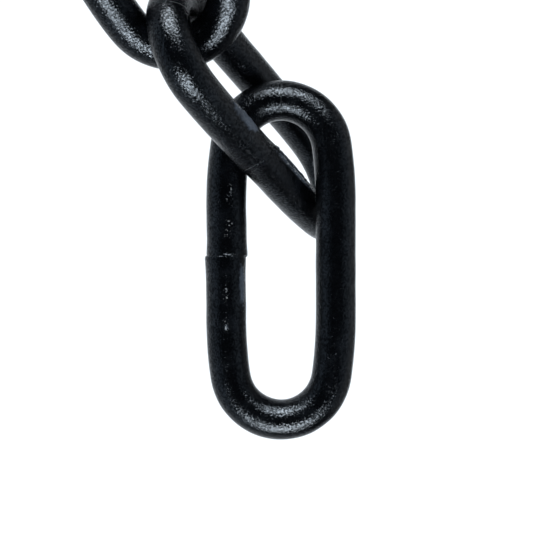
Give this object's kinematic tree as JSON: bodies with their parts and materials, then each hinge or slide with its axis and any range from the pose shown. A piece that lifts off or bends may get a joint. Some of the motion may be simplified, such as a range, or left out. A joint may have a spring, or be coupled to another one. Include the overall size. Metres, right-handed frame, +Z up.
{
  "type": "anchor chain",
  "caption": "Length of black coated welded long-link chain for a small boat's anchor, each link free to swing in the next, laid loosely on a flat surface.",
  "frame": {"origin": "middle of the chain's outline, on the surface that the chain lies on", "axes": "+Z up from the surface, +X along the chain's longest extent, towards the free end link"},
  "size_m": [1.1494, 0.595, 0.0424],
  "materials": {
    "black_coating": "satin black coating with a fine orange-peel grain over steel"
  },
  "bodies": {
    "link_01": {"link_01": "black_coating"},
    "link_02": {"link_02": "black_coating"},
    "link_03": {"link_03": "black_coating"},
    "link_04": {"link_04": "black_coating"},
    "link_05": {"link_05": "black_coating"},
    "link_06": {"link_06": "black_coating"},
    "link_07": {"link_07": "black_coating"},
    "link_08": {"link_08": "black_coating"},
    "link_09": {"link_09": "black_coating"},
    "link_10": {"link_10": "black_coating"},
    "link_11": {"link_11": "black_coating"},
    "link_12": {"link_12": "black_coating"},
    "link_13": {"link_13": "black_coating"},
    "link_14": {"link_14": "black_coating"},
    "link_15": {"link_15": "black_coating"},
    "link_16": {"link_16": "black_coating"},
    "link_17": {"link_17": "black_coating"},
    "link_18": {"link_18": "black_coating"},
    "link_19": {"link_19": "black_coating"},
    "link_20": {"link_20": "black_coating"},
    "link_21": {"link_21": "black_coating"},
    "link_22": {"link_22": "black_coating"}
  },
  "joints": [
    {"name": "swing_01_02", "type": "hinge", "parent": "link_01", "child": "link_02", "pos_m": [0.47123, -0.09606, 0.01254], "axis": [-0.802, 0.3789, 0.4617], "range_deg": [0, 70]},
    {"name": "swing_02_03", "type": "hinge", "parent": "link_02", "child": "link_03", "pos_m": [0.44079, -0.13392, 0.02032], "axis": [-0.5831, 0.7005, -0.4115], "range_deg": [-70, 10]},
    {"name": "swing_03_04", "type": "hinge", "parent": "link_03", "child": "link_04", "pos_m": [0.37096, -0.18968, 0.02157], "axis": [-0.3836, 0.4637, 0.7986], "range_deg": [-60, 60]},
    {"name": "swing_04_05", "type": "hinge", "parent": "link_04", "child": "link_05", "pos_m": [0.29791, -0.23383, 0.0188], "axis": [0.3938, -0.6302, 0.6691], "range_deg": [-60, 60]},
    {"name": "swing_05_06", "type": "hinge", "parent": "link_05", "child": "link_06", "pos_m": [0.21072, -0.24963, 0.01949], "axis": [0.147, -0.6917, -0.7071], "range_deg": [-60, 60]},
    {"name": "swing_06_07", "type": "hinge", "parent": "link_06", "child": "link_07", "pos_m": [0.12421, -0.22971, 0.01949], "axis": [0.1349, 0.6941, -0.7071], "range_deg": [-60, 60]},
    {"name": "swing_07_08", "type": "hinge", "parent": "link_07", "child": "link_08", "pos_m": [0.05236, -0.17758, 0.01949], "axis": [0.3954, 0.5862, 0.7071], "range_deg": [-60, 60]},
    {"name": "swing_08_09", "type": "hinge", "parent": "link_08", "child": "link_09", "pos_m": [0.0066, -0.10151, 0.01949], "axis": [-0.593, -0.3851, 0.7071], "range_deg": [-60, 60]},
    {"name": "swing_09_10", "type": "hinge", "parent": "link_09", "child": "link_10", "pos_m": [-0.01073, -0.01461, 0.01949], "axis": [0.689, 0.1591, 0.7071], "range_deg": [-60, 60]},
    {"name": "swing_10_11", "type": "hinge", "parent": "link_10", "child": "link_11", "pos_m": [-0.01232, 0.07363, 0.01949], "axis": [0.7067, 0.0247, -0.7071], "range_deg": [-60, 60]},
    {"name": "swing_11_12", "type": "hinge", "parent": "link_11", "child": "link_12", "pos_m": [-0.03199, 0.15964, 0.01949], "axis": [0.6917, 0.147, 0.7071], "range_deg": [-60, 60]},
    {"name": "swing_12_13", "type": "hinge", "parent": "link_12", "child": "link_13", "pos_m": [-0.08537, 0.23057, 0.01949], "axis": [-0.5792, -0.4056, 0.7071], "range_deg": [-60, 60]},
    {"name": "swing_13_14", "type": "hinge", "parent": "link_13", "child": "link_14", "pos_m": [-0.1631, 0.27357, 0.01949], "axis": [-0.3642, -0.6061, -0.7071], "range_deg": [-60, 60]},
    {"name": "swing_14_15", "type": "hinge", "parent": "link_14", "child": "link_15", "pos_m": [-0.2516, 0.28124, 0.01949], "axis": [-0.0862, -0.7018, 0.7071], "range_deg": [-60, 60]},
    {"name": "swing_15_16", "type": "hinge", "parent": "link_15", "child": "link_16", "pos_m": [-0.33557, 0.25225, 0.01949], "axis": [-0.2067, 0.6762, 0.7071], "range_deg": [-60, 60]},
    {"name": "swing_16_17", "type": "hinge", "parent": "link_16", "child": "link_17", "pos_m": [-0.40048, 0.19162, 0.01949], "axis": [-0.4639, 0.5337, -0.7071], "range_deg": [-60, 60]},
    {"name": "swing_17_18", "type": "hinge", "parent": "link_17", "child": "link_18", "pos_m": [-0.43512, 0.10982, 0.01949], "axis": [-0.6409, 0.2988, 0.7071], "range_deg": [-60, 60]},
    {"name": "swing_18_19", "type": "hinge", "parent": "link_18", "child": "link_19", "pos_m": [-0.44185, 0.02151, 0.01949], "axis": [0.7032, -0.0739, 0.7071], "range_deg": [-60, 60]},
    {"name": "swing_19_20", "type": "hinge", "parent": "link_19", "child": "link_20", "pos_m": [-0.44104, -0.06663, 0.01949], "axis": [0.7071, 0, -0.7071], "range_deg": [-60, 60]},
    {"name": "swing_20_21", "type": "hinge", "parent": "link_20", "child": "link_21", "pos_m": [-0.45438, -0.15379, 0.01949], "axis": [0.7002, -0.0984, 0.7071], "range_deg": [-60, 60]},
    {"name": "swing_21_22", "type": "hinge", "parent": "link_21", "child": "link_22", "pos_m": [-0.49832, -0.23075, 0.01949], "axis": [-0.6243, 0.332, 0.7071], "range_deg": [-60, 60]}
  ]
}
